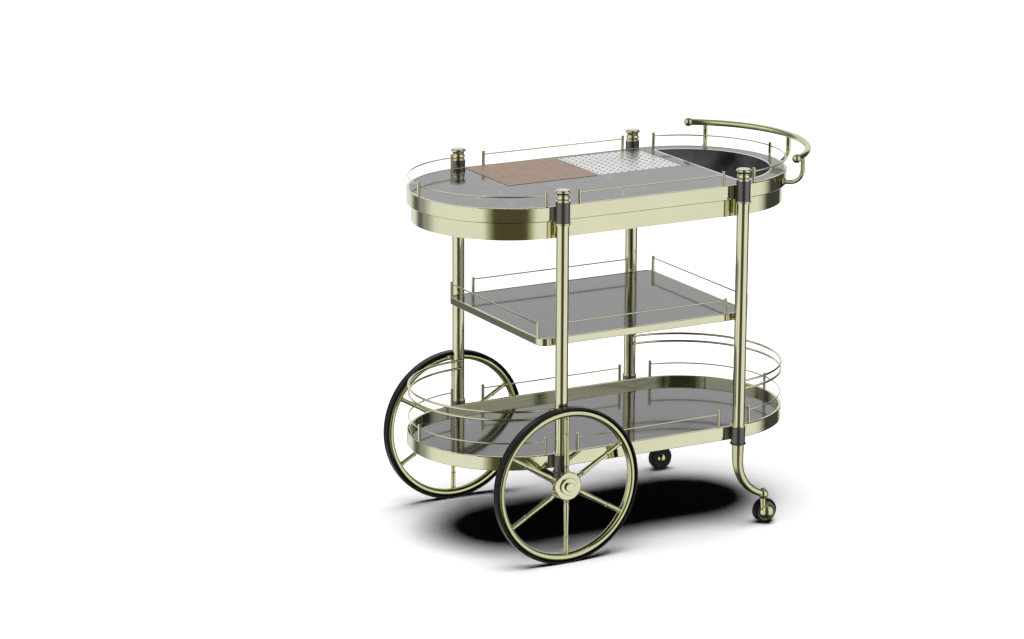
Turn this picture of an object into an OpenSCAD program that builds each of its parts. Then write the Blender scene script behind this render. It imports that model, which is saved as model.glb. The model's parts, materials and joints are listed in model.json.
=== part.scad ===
// Beverage service trolley: three decks between four tube posts, two large spoked
// wheels on one axle at the left and two swivelling casters at the right, where the
// push handle is. Millimetres, +Z up, +X towards the handle, floor at z = 0.

/* [Decks] */
// Length of the top and bottom decks, over their round ends
deck_len = 1000; // [900:10:1200]
// Width of the top and bottom decks
deck_w = 490; // [440:5:560]
// Height of the top deck above the floor
top_z = 869; // [800:1:950]
// Height of the middle shelf above the floor
shelf_z = 547; // [480:1:600]
// Height of the bottom deck's rim above the floor
lower_z = 260; // [245:1:300]
// Wall of the brass rims
rim_wall = 8; // [6:0.5:10]
// Radius of the rims' rounded edges
rim_round = 2; // [1:0.25:2.5]
// Height of the top rim
top_rim_h = 36; // [30:1:45]
// Height of the apron band that shows below the top rim
apron_show = 43; // [30:1:50]
// How far the apron stands in from the top rim
apron_inset = 10.5; // [9:0.5:12]
// Wall of the apron band
apron_wall = 3; // [2:0.5:4]
// Height of the bottom deck's rim
lower_rim_h = 34; // [30:1:40]
// Height of the middle shelf's rim
shelf_rim_h = 18; // [16:1:24]
// Width of the ledge inside each rim
ledge_w = 7; // [5:0.5:10]
// Thickness of the ledge inside each rim
ledge_t = 3; // [2:0.5:4]
// Length of the middle shelf
shelf_len = 592; // [560:2:640]
// How much narrower the middle shelf is than the decks
shelf_narrowing = 8; // [4:1:20]
// Corner radius of the middle shelf
shelf_corner = 25; // [18:1:40]

/* [Stone slabs] */
// Thickness of the top and shelf slabs
slab_t = 12; // [11:0.5:13]
// How far the top and shelf slabs lie below their rims
slab_drop = 1; // [0.5:0.1:2]
// Thickness of the bottom slab
lower_slab_t = 9; // [8:0.5:10]
// How far the bottom slab lies below its rim
lower_slab_drop = 17; // [12:1:18]

/* [Posts] */
// Outside diameter of the posts
post_d = 31; // [26:0.5:32]
// Wall of the post tube
post_wall = 2; // [1.5:0.25:3]
// Distance between the left and right posts
post_span = 501; // [480:1:520]
// Outside diameter of the cast collars
collar_d = 35; // [32.5:0.5:38]
// Outside diameter of the bead rings
bead_d = 40; // [38:0.5:42]
// Height of the bead ring at a lower collar's foot
bead_h = 5; // [4:0.5:6]
// Length of an upper collar
upper_collar_h = 50; // [46:1:60]
// How far an upper collar stands above the top deck
upper_collar_up = 15; // [10:1:18]
// Length of a lower collar
lower_collar_h = 46.5; // [44:0.5:56]
// How far a lower collar stands above the bottom deck's rim
lower_collar_up = 5; // [3:0.5:8]
// Gap between a collar's round body and the deck rim, bridged by the collar's lug
collar_gap = 1.2; // [1:0.1:3]
// Width of a collar's lug
lug_w = 16; // [12:1:20]
// How far a lug stays inside the height of its deck's rim
lug_margin = 4; // [2:0.5:6]
// Height of the brass bead ring under an upper collar
brass_bead_h = 4; // [3:0.25:5]
// Height of the slim brass rings at the collars' ends
slim_ring_h = 2.75; // [2:0.25:4]
// Outside diameter of those slim rings
slim_ring_d = 36.5; // [35:0.5:38]
// Height of a finial above its collar
finial_h = 28; // [24:1:34]
// Radius of a finial's flat crown
finial_crown_r = 19; // [18:0.5:20]
// Radius of a finial's waist, just under the crown
finial_waist_r = 14; // [12:0.5:15]
// Radius of a finial's round belly
finial_belly_r = 16.5; // [15.5:0.5:17.5]
// Radius of a finial's base disc
finial_base_r = 17.5; // [16.5:0.5:18.5]

/* [Galleries] */
// Diameter of a gallery post
gallery_post_d = 8; // [6:0.5:8]
// Diameter of a gallery wire
wire_d = 3.5; // [2.5:0.25:4]
// Height of the top gallery's posts
top_gallery_h = 36; // [32:1:45]
// Height of the top gallery's wire above its deck
top_wire_up = 27; // [22:1:28]
// Height of the shelf gallery's posts
shelf_gallery_h = 39; // [37:1:45]
// Height of the shelf gallery's wires above the shelf
shelf_wire_up = 34; // [26:1:34]
// Height of the bottom gallery's posts
lower_gallery_h = 43; // [38:1:50]
// Height of the bottom gallery's wire above its rim
lower_wire_up = 33; // [26:1:34]
// Distance between the two gallery posts at a break in a deck's gallery
gallery_break = 89; // [84:1:96]
// Distance of the left breaks from the decks' middle
break_left = 237; // [230:1:255]
// Distance of the right breaks from the decks' middle
break_right = 252; // [230:1:255]
// Distance from a post inwards to the end of the shelf's long wire
shelf_long_in = 27.5; // [24:0.5:40]
// Distance from the shelf's long edge to the end of its short wire
shelf_short_in = 19; // [17:0.5:40]

/* [Bottle guards] */
// Diameter of a guard rod
guard_d = 6; // [5:0.5:8]
// Height of the lower guard rod above the bottom deck's rim
guard_up = 92; // [75:1:110]
// Distance between the two guard rods of one end
guard_step = 20; // [16:1:30]

/* [Handle] */
// Diameter of the handle bar
handle_d = 16; // [14:0.5:20]
// How far the handle bar's centre line reaches past the deck's round end
handle_reach = 51; // [42:1:65]
// Height of the handle bar above the top deck
handle_up = 50; // [40:1:60]
// Half of the angle that the bar turns through
handle_half_angle = 58.5; // [52:0.5:65]
// Diameter of the balls at the bar's ends
handle_ball_d = 22.6; // [20:0.2:26]
// Diameter of the three arms
arm_d = 11.4; // [9:0.2:13]
// Bend radius of an arm
arm_bend_r = 34; // [24:1:36]
// Angle between neighbouring arms
arm_angle = 50; // [42:1:51]
// Diameter of the flanges that hold the arms
flange_d = 21; // [19:0.5:28]
// Thickness of those flanges
flange_t = 5; // [4:0.5:7]
// Height of the flange centres below the top deck
flange_down = 20; // [17:0.5:21]

/* [Deck inserts] */
// Length of the cutting board along the trolley
board_len = 247; // [200:1:247]
// Thickness of the cutting board
board_t = 10.5; // [9:0.1:10.6]
// Depth of the pocket that the board lies in
pocket_depth = 10; // [8.5:0.1:10.2]
// Distance of the board and the drip tray from the long centre line
insert_y = 6; // [2:0.5:12]
// Stone left between the board or the drip tray and the rim
insert_margin = 5; // [4:0.5:12]
// Half of the stone strip between the board and the drip tray
insert_strip = 2.5; // [2:0.5:4]
// Length of the drip tray along the trolley
tray_len = 247; // [200:1:247]
// Depth of the drip tray
tray_depth = 30; // [20:1:32]
// Sheet thickness of the drip tray and of the ice well
pan_wall = 1.5; // [1:0.1:2]
// Width of the lips that the pans hang by
lip_w = 4; // [3:0.25:5]
// Thickness of those lips
lip_t = 1; // [0.8:0.1:1.5]
// Thickness of the perforated drip plate
plate_t = 2; // [1.5:0.25:3]
// Diameter of the holes in the drip plate
drain_hole_d = 6.8; // [4:0.2:8]
// Distance between the rows of holes in the drip plate
drain_pitch = 19.7; // [14:0.1:22]
// Width of the ledge that the drip plate lies on
plate_ledge_w = 4; // [3:0.25:6]
// Distance of the ice well's round side from the deck's edge
well_margin = 42; // [40:1:55]
// Distance of the ice well's straight side from the trolley's middle
well_x = 281; // [262:1:300]
// Depth of the ice well
well_depth = 70; // [50:1:72]

/* [Stem rack] */
// Number of channels for stemware
rack_channels = 3; // [2:1:3]
// Distance between the channels
rack_pitch = 120; // [106:1:130]
// Width inside a channel, for the foot of a glass
rack_foot_w = 76; // [64:1:84]
// Slot between a channel's flanges, for the stem of a glass
rack_slot = 16; // [12:0.5:20]
// Space between the channels' front ends and the apron, where a foot goes in
rack_front_gap = 80; // [76:1:100]
// Space between the channels' rear ends and the apron
rack_rear_gap = 30; // [10:1:60]
// Height inside a channel
rack_h = 20; // [16:0.5:24]
// Sheet thickness of the channels
rack_t = 1.5; // [1:0.1:2.5]
// Distance of the rack's middle to the left of the trolley's middle
rack_left = 60; // [50:1:80]

/* [Large wheels] */
// Diameter of the large wheels
wheel_d = 387; // [370:1:395]
// Gap between a post and the tyre beside it
tyre_gap = 0.8; // [0.6:0.1:3]
// Width of the tyres
tyre_w = 22; // [20:0.5:26]
// Thickness of the tyres
tyre_t = 5; // [4:0.25:7]
// Width of the tyre seat on the brass rim
seat_w = 18; // [16:0.5:20]
// Thickness of the tyre seat
seat_t = 4.5; // [3.5:0.25:6]
// Diameter of the round bead of the brass rim
rim_bead_d = 14.4; // [13:0.2:17]
// Number of spokes
spoke_count = 6; // [5:1:8]
// Largest diameter of a spoke
spoke_swell_d = 13; // [12:0.25:14]
// Diameter of a spoke at its waist
spoke_waist_d = 9.6; // [8:0.2:10]
// Diameter of a spoke's outer cylinder
spoke_outer_d = 11; // [10:0.25:12]
// Diameter of a hub
hub_d = 70; // [60:1:72]
// Length of a hub's wide part along the axle
hub_len = 17; // [16:0.5:22]
// Diameter of a hub's raised ring
hub_ring_d = 43.5; // [34:0.5:48]
// Height of a hub's raised ring
hub_ring_h = 5; // [3:0.25:6]
// Diameter of a hub cap
hub_cap_d = 23.5; // [22.5:0.5:27]
// Height of a hub cap
hub_cap_h = 6.5; // [2:0.25:8]
// Gap between a lower collar's bead ring and the hub
hub_gap = 1.3; // [1:0.1:3]
// Diameter of the axle
axle_d = 12; // [10:0.25:14]
// Outside diameter of the tube that the axle runs through
axle_tube_d = 26; // [22:0.5:28]
// Wall of the axle tube
axle_tube_wall = 2; // [1.5:0.25:3]
// Distance across the flats of an axle nut
nut_af = 16; // [15:0.25:16.5]
// Thickness of an axle nut
nut_t = 6; // [4:0.25:6.5]

/* [Legs and casters] */
// Bend radius of the legs
leg_bend_r = 103; // [80:1:108]
// Angle that a leg turns through
leg_angle = 67; // [60:1:75]
// Length of a leg's straight run to its tip
leg_tip_run = 16; // [12:1:20]
// Diameter of a leg's tip
leg_tip_d = 17; // [14:0.5:19]
// Diameter of the ball socket at a leg's tip
socket_d = 26; // [22:0.5:27]
// Height of the ball socket's centre
socket_z = 78; // [77:0.5:90]
// Diameter of a caster's stem
stem_d = 8; // [6:0.25:9]
// Diameter of the head on top of a caster's stem
stem_head_d = 12; // [10.5:0.25:12.5]
// Diameter of a caster's wheel
caster_d = 62; // [56:1:64]
// Width of a caster's wheel
caster_w = 20; // [18:0.5:24]
// Distance of a caster's wheel behind its stem
caster_trail = 12; // [10:0.5:18]
// Distance of a caster's wheel inboard of its stem
caster_inboard = 12; // [11.5:0.25:14]
// Diameter of a caster's neck
neck_d = 13; // [11:0.25:16]
// Diameter of a caster's round hood
hood_d = 41; // [36:0.5:46]
// Diameter of a caster's axle
caster_pin_d = 8; // [6:0.25:10]
// Diameter of the cap on a caster's inner side
caster_cap_d = 24; // [18:0.5:28]

/* [Fits] */
// Gap around pieces that are fixed together
fit = 0.1; // [0.05:0.01:0.15]
// Radial gap of a running fit
running = 0.05; // [0.02:0.01:0.1]
// Gap around and under pieces that lift out
loose = 0.5; // [0.3:0.05:0.8]
// Gap between a turning piece and its neighbour
clear = 0.4; // [0.3:0.05:0.8]

/* [Hidden] */
$fn = 72;
// How far a cut runs past the solid that it opens
over = 1;

// Colours, as the finishes look
brass = [0.80, 0.79, 0.62];
gunmetal = [0.33, 0.32, 0.34];
stone = [0.12, 0.12, 0.13];
walnut = [0.62, 0.48, 0.41];
steel = [0.80, 0.80, 0.82];
rubber = [0.06, 0.06, 0.06];

// Decks, seen from above
deck_r = deck_w / 2;
end_x = deck_len / 2 - deck_r;
rim_inner_r = deck_r - rim_wall;
rim_line_r = deck_r - rim_wall / 2;
apron_r = deck_r - apron_inset;
apron_inner_r = apron_r - apron_wall;
apron_bottom = top_z - top_rim_h - apron_show;
slab_top = top_z - slab_drop;
slab_bottom = slab_top - slab_t;
lower_slab_top = lower_z - lower_slab_drop;
lower_slab_bottom = lower_slab_top - lower_slab_t;
shelf_w = deck_w - shelf_narrowing;
shelf_slab_top = shelf_z - slab_drop;
shelf_slab_bottom = shelf_slab_top - slab_t;

// Posts and collars
post_r = post_d / 2;
post_x = post_span / 2;
post_y = deck_r + collar_gap + collar_d / 2;
upper_collar_top = top_z + upper_collar_up;
upper_collar_bottom = upper_collar_top - upper_collar_h;
lower_collar_top = lower_z + lower_collar_up;
lower_collar_bottom = lower_collar_top - lower_collar_h;
post_bottom = (lower_collar_top + lower_collar_bottom) / 2;

// Finial, as fractions of its height
finial_base_h = 0.08 * finial_h;
finial_neck_z = 0.58 * finial_h;
finial_crown_z = 0.80 * finial_h;

// Inserts in the top deck
board_x0 = -insert_strip - board_len;
tray_x0 = insert_strip;
insert_w = rim_inner_r - insert_margin - insert_y;
tray_bottom = slab_top - tray_depth;
pan_lip_z = slab_top - lip_t;
pan_top = pan_lip_z + lip_t;
plate_z = pan_top - plate_t;
well_r = deck_r - well_margin;
well_floor_z = pan_top - well_depth - pan_wall;

// Underside panel and stem rack
panel_t = 2;
panel_z = slab_bottom - tray_depth - loose;
rack_bottom = panel_z - rack_h - rack_t;
rack_front_y = rack_front_gap - apron_inner_r;
rack_rear_y = apron_inner_r - rack_rear_gap;
rack_len = rack_rear_y - rack_front_y;

// Large wheels: the hub clears the collar's bead ring, the tyre clears the post
wheel_r = wheel_d / 2;
hub_inner_y = post_y + bead_d / 2 + hub_gap;
wheel_y = max(post_y + post_r + tyre_gap + tyre_w / 2, hub_inner_y + spoke_swell_d / 2);
tyre_inner_r = wheel_r - tyre_t;
rim_bead_r = rim_bead_d / 2;
rim_bead_sunk = 0.6;
rim_bead_line = tyre_inner_r - seat_t + rim_bead_sunk - rim_bead_r;
hub_bore_len = hub_len / 2;
cap_overlap = 1.2;
nut_pocket_r = hub_cap_d / 2 - cap_overlap;
cap_spigot_gap = 0.5;
axle_end = hub_len - cap_spigot_gap;
spoke_start = hub_d / 2;
spoke_end = rim_bead_line - rim_bead_r;
spoke_span = spoke_end - spoke_start;

// A spoke's turning: where its root ends, its swell, its ring and its beads lie
spoke_root_z = 0.8 * spoke_start;
spoke_root_end = spoke_start + 0.06 * spoke_span;
spoke_swell_z = spoke_start + 0.12 * spoke_span;
spoke_ring_z = spoke_start + 0.69 * spoke_span;
spoke_first_bead_z = spoke_start + 0.035 * spoke_span;
spoke_last_bead_z = spoke_end - 3;
spoke_root_extra = 0.5;
spoke_bead_sunk = 1;

// Legs and casters
leg_reach = leg_bend_r * (1 - cos(leg_angle)) + leg_tip_run * sin(leg_angle);
leg_bend_z = socket_z + leg_bend_r * sin(leg_angle) + leg_tip_run * cos(leg_angle);
socket_r = socket_d / 2;
socket_cut = 1.4;
socket_flat = socket_r - socket_cut;
stem_head_r = stem_head_d / 2;
stem_x = post_x + leg_reach;
caster_r = caster_d / 2;
caster_x = stem_x + caster_trail;
caster_y = post_y - caster_inboard;
hood_cut_y = caster_y + caster_w / 2 + clear;
pin_depth = 8;

// Handle and bottle guards
handle_z = top_z + handle_up;
handle_r = deck_r + handle_reach;
handle_bar_r = handle_d / 2;
guard_z = lower_z + guard_up;
guard_line_r = post_y - post_r - guard_d / 2 - fit;
flange_z = top_z - flange_down;

// The origin is on the floor, midway between the outermost points in X
reach_left = max(deck_len / 2, post_x + wheel_r, post_x + guard_line_r + guard_d / 2);
reach_right = end_x + handle_r + handle_bar_r;
shift_x = (reach_left - reach_right) / 2;

// Places a sub-part's own frame, with its X at the decks' middle, in the trolley's frame
module in_frame() {
    translate([shift_x, 0, 0]) children();
}

// Copies children to both sides of the long centre line
module both_sides() {
    for (side = [0, 1]) mirror([0, side, 0]) children();
}

// Copies children to both ends
module both_ends() {
    for (end = [0, 1]) mirror([end, 0, 0]) children();
}

module all_corners() {
    both_ends() both_sides() children();
}

// Outline with two half-round ends around the deck's end centres
module stadium(r) {
    square([2 * end_x, 2 * r], center = true);
    for (x = [-end_x, end_x]) translate([x, 0]) circle(r);
}

module stadium_ring(outer, inner) {
    difference() {
        stadium(outer);
        stadium(inner);
    }
}

// Section of a rim with rounded edges; outer is its outer face, h its height
module rim_section(outer, h) {
    translate([outer - rim_wall, rim_round]) square([rim_wall, h - 2 * rim_round]);
    translate([outer - rim_wall + rim_round, 0]) square([rim_wall - 2 * rim_round, h]);
    for (x = [outer - rim_wall + rim_round, outer - rim_round], z = [rim_round, h - rim_round])
        translate([x, z]) circle(rim_round, $fn = 32);
}

// Sweeps a section, drawn outwards and upwards, along a deck's two sides and round ends
module around_deck() {
    both_ends() translate([end_x, 0, 0]) rotate([0, 0, -90]) rotate_extrude(angle = 180) children();
    both_sides() translate([-end_x, 0, 0]) rotate([90, 0, 90]) linear_extrude(2 * end_x) children();
}

// Sweeps a section along the shelf's four sides and corners
module around_shelf() {
    side = shelf_len / 2 - shelf_corner;
    end = shelf_w / 2 - shelf_corner;
    all_corners() translate([side, end, 0]) rotate_extrude(angle = 90) children();
    both_sides() translate([-side, end, 0]) rotate([90, 0, 90]) linear_extrude(2 * side) children();
    both_ends() translate([side, end, 0]) rotate([90, 0, 0]) linear_extrude(2 * end) children();
}

// Rectangle with round corners, as two bars and four discs
module rounded_rect(l, w, r) {
    square([l - 2 * r, w], center = true);
    square([l, w - 2 * r], center = true);
    for (x = [-1, 1], y = [-1, 1])
        translate([x * (l / 2 - r), y * (w / 2 - r)]) circle(r);
}

module slab_shape(z, h) {
    translate([0, 0, z]) linear_extrude(h) children();
}

// Post, finial and collars

module post() {
    color(brass) slab_shape(post_bottom, upper_collar_top - post_bottom) difference() {
        circle(post_r);
        circle(post_r - post_wall);
    }
}

// A solid ring with a round rim, from z upwards
module bead_ring(z, h) {
    translate([0, 0, z + h / 2]) rotate_extrude() translate([bead_d / 2 - h / 2, 0]) circle(h / 2);
    translate([0, 0, z]) cylinder(h = h, r = bead_d / 2 - h / 2);
}

// Brass rings that close the collars: a bead with a slim ring below, and a slim ring on top
module post_rings() {
    bead_z = upper_collar_bottom - brass_bead_h;
    color(brass) difference() {
        union() {
            bead_ring(bead_z, brass_bead_h);
            translate([0, 0, bead_z - slim_ring_h]) cylinder(h = slim_ring_h, d = slim_ring_d);
            translate([0, 0, lower_collar_top]) cylinder(h = slim_ring_h, d = slim_ring_d);
        }
        translate([0, 0, post_bottom]) cylinder(h = top_z, r = post_r + fit);
    }
}

module post_at(x_side, y_side) {
    in_frame() translate([x_side * post_x, y_side * post_y, 0]) {
        post();
        post_rings();
    }
}

// A cast sleeve round the post, with a lug that meets the deck's rim
module collar(z, h, lug_bottom, lug_top, has_bead) {
    difference() {
        union() {
            translate([0, 0, z]) cylinder(h = h, d = collar_d);
            if (has_bead) bead_ring(z, bead_h);
            translate([-lug_w / 2, -collar_d / 2 - collar_gap, lug_bottom])
                cube([lug_w, collar_d / 2 + collar_gap, lug_top - lug_bottom]);
        }
        translate([0, 0, z - over]) cylinder(h = h + 2 * over, r = post_r + fit);
    }
}

module upper_collars() {
    lug_bottom = top_z - top_rim_h + lug_margin;
    color(gunmetal) in_frame() all_corners() translate([post_x, post_y, 0])
        collar(upper_collar_bottom, upper_collar_h, lug_bottom, top_z - lug_margin, false);
}

module lower_collars() {
    lug_bottom = lower_z - lower_rim_h + lug_margin;
    color(gunmetal) in_frame() all_corners() translate([post_x, post_y, 0])
        collar(lower_collar_bottom, lower_collar_h, lug_bottom, lower_z - lug_margin, true);
}

// A turned finial: base disc, round belly, waist, and a flared flat crown
module finial() {
    belly_tube = (finial_neck_z - finial_base_h) / 2;
    crown_t = finial_h - finial_crown_z;
    crown_edge = crown_t / 5;
    spigot_h = 10;
    cylinder(h = finial_base_h, r = finial_base_r);
    translate([0, 0, finial_base_h]) cylinder(h = finial_neck_z, r = finial_waist_r);
    translate([0, 0, finial_base_h + belly_tube]) rotate_extrude()
        translate([finial_belly_r - belly_tube, 0]) circle(belly_tube);
    translate([0, 0, finial_neck_z]) cylinder(
        h = finial_crown_z - finial_neck_z, r1 = finial_waist_r, r2 = finial_crown_r - crown_edge);
    translate([0, 0, finial_crown_z]) cylinder(h = crown_t / 2, r = finial_crown_r);
    translate([0, 0, finial_crown_z + crown_t / 2])
        cylinder(h = crown_t / 2, r1 = finial_crown_r - crown_edge, r2 = finial_crown_r - 3 * crown_edge);
    translate([0, 0, -spigot_h]) cylinder(h = spigot_h, r = post_r - post_wall - fit);
}

module finials() {
    color(brass) in_frame() all_corners() translate([post_x, post_y, upper_collar_top]) finial();
}

// Top deck

module top_rim() {
    color(brass) in_frame() {
        translate([0, 0, top_z - top_rim_h]) around_deck() rim_section(deck_r, top_rim_h);
        slab_shape(slab_bottom - ledge_t, ledge_t)
            stadium_ring(rim_inner_r, rim_inner_r - ledge_w);
    }
}

module top_apron() {
    color(brass) in_frame()
        slab_shape(apron_bottom, slab_bottom - ledge_t - apron_bottom)
            stadium_ring(apron_r, apron_inner_r);
}

// The ice well's plan: a disc cut off by the straight side
module well_outline(grow) {
    intersection() {
        translate([end_x, 0]) circle(well_r + grow);
        translate([well_x - grow, -deck_w]) square([deck_len, 2 * deck_w]);
    }
}

// The plan of an insert that starts at x0, grown on every side
module insert_rect(x0, l, grow) {
    translate([x0 - grow, insert_y - grow]) square([l + 2 * grow, insert_w + 2 * grow]);
}

module top_slab() {
    color(stone) in_frame() difference() {
        slab_shape(slab_bottom, slab_t) difference() {
            stadium(rim_inner_r - fit);
            insert_rect(tray_x0, tray_len, loose - lip_w);
            well_outline(pan_wall + loose);
        }
        slab_shape(slab_top - pocket_depth, slab_t)
            insert_rect(board_x0, board_len, loose);
        slab_shape(pan_lip_z - loose / 2, slab_t) {
            insert_rect(tray_x0, tray_len, loose);
            well_outline(pan_wall + lip_w + loose);
        }
    }
}

module top_underpanel() {
    color(gunmetal) in_frame() slab_shape(panel_z, panel_t) difference() {
        stadium(apron_inner_r - fit);
        well_outline(pan_wall + 2 * loose);
    }
}

module cutting_board() {
    color(walnut) in_frame() slab_shape(slab_top - pocket_depth + loose / 2, board_t)
        insert_rect(board_x0, board_len, 0);
}

// A pan with an outward lip; the inner ledge carries the plate
module drip_tray() {
    ledge_z = plate_z - loose / 2;
    color(steel) in_frame() {
        slab_shape(tray_bottom, pan_wall) insert_rect(tray_x0, tray_len, -lip_w);
        slab_shape(tray_bottom, pan_top - tray_bottom) difference() {
            insert_rect(tray_x0, tray_len, -lip_w);
            insert_rect(tray_x0, tray_len, -lip_w - pan_wall);
        }
        slab_shape(pan_lip_z, lip_t) difference() {
            insert_rect(tray_x0, tray_len, 0);
            insert_rect(tray_x0, tray_len, -lip_w - pan_wall / 2);
        }
        slab_shape(ledge_z - pan_wall, pan_wall) difference() {
            insert_rect(tray_x0, tray_len, -lip_w - pan_wall / 2);
            insert_rect(tray_x0, tray_len, -lip_w - pan_wall - plate_ledge_w);
        }
    }
}

// Straight rows of round holes, one pitch apart both ways and centred on the plate
module drain_holes() {
    border = lip_w + pan_wall + loose;
    columns = round((tray_len - 2 * border) / drain_pitch);
    rows = round((insert_w - 2 * border) / drain_pitch);
    first_x = tray_x0 + tray_len / 2 - (columns - 1) * drain_pitch / 2;
    first_y = insert_y + insert_w / 2 - (rows - 1) * drain_pitch / 2;
    for (row = [0 : rows - 1], column = [0 : columns - 1])
        translate([first_x + column * drain_pitch, first_y + row * drain_pitch])
            circle(d = drain_hole_d, $fn = 24);
}

module drip_plate() {
    color(steel) in_frame() slab_shape(plate_z, plate_t) difference() {
        insert_rect(tray_x0, tray_len, -lip_w - pan_wall - loose);
        drain_holes();
    }
}

module ice_well() {
    color(steel) in_frame() {
        slab_shape(well_floor_z, pan_wall) well_outline(pan_wall);
        slab_shape(well_floor_z, pan_top - well_floor_z) difference() {
            well_outline(pan_wall);
            well_outline(0);
        }
        slab_shape(pan_lip_z, lip_t) difference() {
            well_outline(pan_wall + lip_w);
            well_outline(pan_wall / 2);
        }
    }
}

// Galleries of wire on the decks with round ends

// Posts stand on the rim's centre line on both sides of each break
side_wire_x0 = gallery_break / 2 - break_left;
side_wire_x1 = break_right - gallery_break / 2;

function end_post_angle(break_x) = asin((break_x + gallery_break / 2 - end_x) / rim_line_r);

module wire_arc(break_x, r_extra) {
    angle = end_post_angle(break_x);
    translate([end_x, 0, 0]) rotate([0, 0, -90 + angle]) rotate_extrude(angle = 180 - 2 * angle)
        translate([rim_line_r, 0]) circle(wire_d / 2 + r_extra, $fn = 24);
}

module left_wire(r_extra) {
    mirror([1, 0, 0]) wire_arc(break_left, r_extra);
}

module right_wire(r_extra) {
    wire_arc(break_right, r_extra);
}

module side_wires(r_extra) {
    both_sides() translate([side_wire_x0, rim_line_r, 0]) rotate([0, 90, 0])
        cylinder(h = side_wire_x1 - side_wire_x0, r = wire_d / 2 + r_extra, $fn = 24);
}

module gallery_post(h) {
    tip = gallery_post_d / 8;
    cylinder(h = h - tip, d = gallery_post_d, $fn = 32);
    translate([0, 0, h - tip])
        cylinder(h = tip, d1 = gallery_post_d, d2 = gallery_post_d - 2 * tip, $fn = 32);
}

module end_posts(break_x, h) {
    angle = end_post_angle(break_x);
    translate([end_x, 0, 0]) {
        both_sides() translate([rim_line_r * sin(angle), rim_line_r * cos(angle), 0]) gallery_post(h);
        translate([rim_line_r, 0, 0]) gallery_post(h);
    }
}

module deck_gallery_posts(z, h, wire_up) {
    in_frame() difference() {
        translate([0, 0, z]) {
            both_sides() for (x = [side_wire_x0, side_wire_x1])
                translate([x, rim_line_r, 0]) gallery_post(h);
            mirror([1, 0, 0]) end_posts(break_left, h);
            end_posts(break_right, h);
        }
        translate([0, 0, z + wire_up]) {
            left_wire(fit);
            right_wire(fit);
            side_wires(fit);
        }
    }
}

module top_gallery_posts() {
    color(brass) deck_gallery_posts(top_z, top_gallery_h, top_wire_up);
}

module top_gallery_left_wire() {
    color(brass) in_frame() translate([0, 0, top_z + top_wire_up]) left_wire(0);
}

module top_gallery_right_wire() {
    color(brass) in_frame() translate([0, 0, top_z + top_wire_up]) right_wire(0);
}

module top_gallery_side_wires() {
    color(brass) in_frame() translate([0, 0, top_z + top_wire_up]) side_wires(0);
}

// Middle shelf

shelf_long_wire = 2 * (post_x - shelf_long_in);
shelf_short_wire = shelf_w - 2 * shelf_short_in;

module shelf_outline(inset) {
    rounded_rect(shelf_len - 2 * inset, shelf_w - 2 * inset, shelf_corner - inset);
}

module shelf_rim() {
    color(brass) in_frame() {
        translate([0, 0, shelf_z - shelf_rim_h]) around_shelf()
            rim_section(shelf_corner, shelf_rim_h);
        slab_shape(shelf_slab_bottom - ledge_t, ledge_t) difference() {
            shelf_outline(rim_wall);
            shelf_outline(rim_wall + ledge_w);
        }
    }
}

module shelf_slab() {
    color(stone) in_frame() slab_shape(shelf_slab_bottom, slab_t) shelf_outline(rim_wall + fit);
}

module shelf_wires(r_extra) {
    translate([0, 0, shelf_z + shelf_wire_up]) {
        both_sides() translate([-shelf_long_wire / 2, shelf_w / 2 - rim_wall / 2, 0])
            rotate([0, 90, 0]) cylinder(h = shelf_long_wire, r = wire_d / 2 + r_extra, $fn = 24);
        both_ends() translate([shelf_len / 2 - rim_wall / 2, shelf_short_wire / 2, 0])
            rotate([90, 0, 0]) cylinder(h = shelf_short_wire, r = wire_d / 2 + r_extra, $fn = 24);
    }
}

module shelf_gallery_wires() {
    color(brass) in_frame() shelf_wires(0);
}

module shelf_gallery_posts() {
    color(brass) in_frame() difference() {
        translate([0, 0, shelf_z]) all_corners() {
            translate([shelf_long_wire / 2, shelf_w / 2 - rim_wall / 2, 0])
                gallery_post(shelf_gallery_h);
            translate([shelf_len / 2 - rim_wall / 2, shelf_short_wire / 2, 0])
                gallery_post(shelf_gallery_h);
        }
        shelf_wires(fit);
    }
}

// Short spacers from the posts to the shelf's rim
module shelf_standoffs() {
    spacer_z = shelf_z - shelf_rim_h / 2;
    spacer_d = 0.7 * shelf_rim_h;
    color(brass) in_frame() all_corners() difference() {
        translate([post_x, shelf_w / 2, spacer_z]) rotate([-90, 0, 0])
            cylinder(h = post_y - shelf_w / 2, d = spacer_d, $fn = 32);
        translate([post_x, post_y, spacer_z - shelf_rim_h])
            cylinder(h = 2 * shelf_rim_h, r = post_r + fit);
    }
}

// Bottom deck

module lower_rim() {
    color(brass) in_frame() {
        translate([0, 0, lower_z - lower_rim_h]) around_deck() rim_section(deck_r, lower_rim_h);
        slab_shape(lower_slab_bottom - ledge_t, ledge_t)
            stadium_ring(rim_inner_r, rim_inner_r - ledge_w);
    }
}

module lower_slab() {
    color(stone) in_frame() slab_shape(lower_slab_bottom, lower_slab_t)
        stadium(rim_inner_r - fit);
}

module lower_gallery_posts() {
    color(brass) deck_gallery_posts(lower_z, lower_gallery_h, lower_wire_up);
}

module lower_gallery_left_wire() {
    color(brass) in_frame() translate([0, 0, lower_z + lower_wire_up]) left_wire(0);
}

module lower_gallery_right_wire() {
    color(brass) in_frame() translate([0, 0, lower_z + lower_wire_up]) right_wire(0);
}

module lower_gallery_side_wires() {
    color(brass) in_frame() translate([0, 0, lower_z + lower_wire_up]) side_wires(0);
}

// Two half-round rods at each end, brazed to the inner faces of the posts
module guard_rods() {
    for (z = [guard_z, guard_z + guard_step])
        translate([post_x, 0, z]) rotate([0, 0, -90]) rotate_extrude(angle = 180)
            translate([guard_line_r, 0]) circle(guard_d / 2, $fn = 32);
}

module guard_rods_left() {
    color(brass) in_frame() mirror([1, 0, 0]) guard_rods();
}

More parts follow.
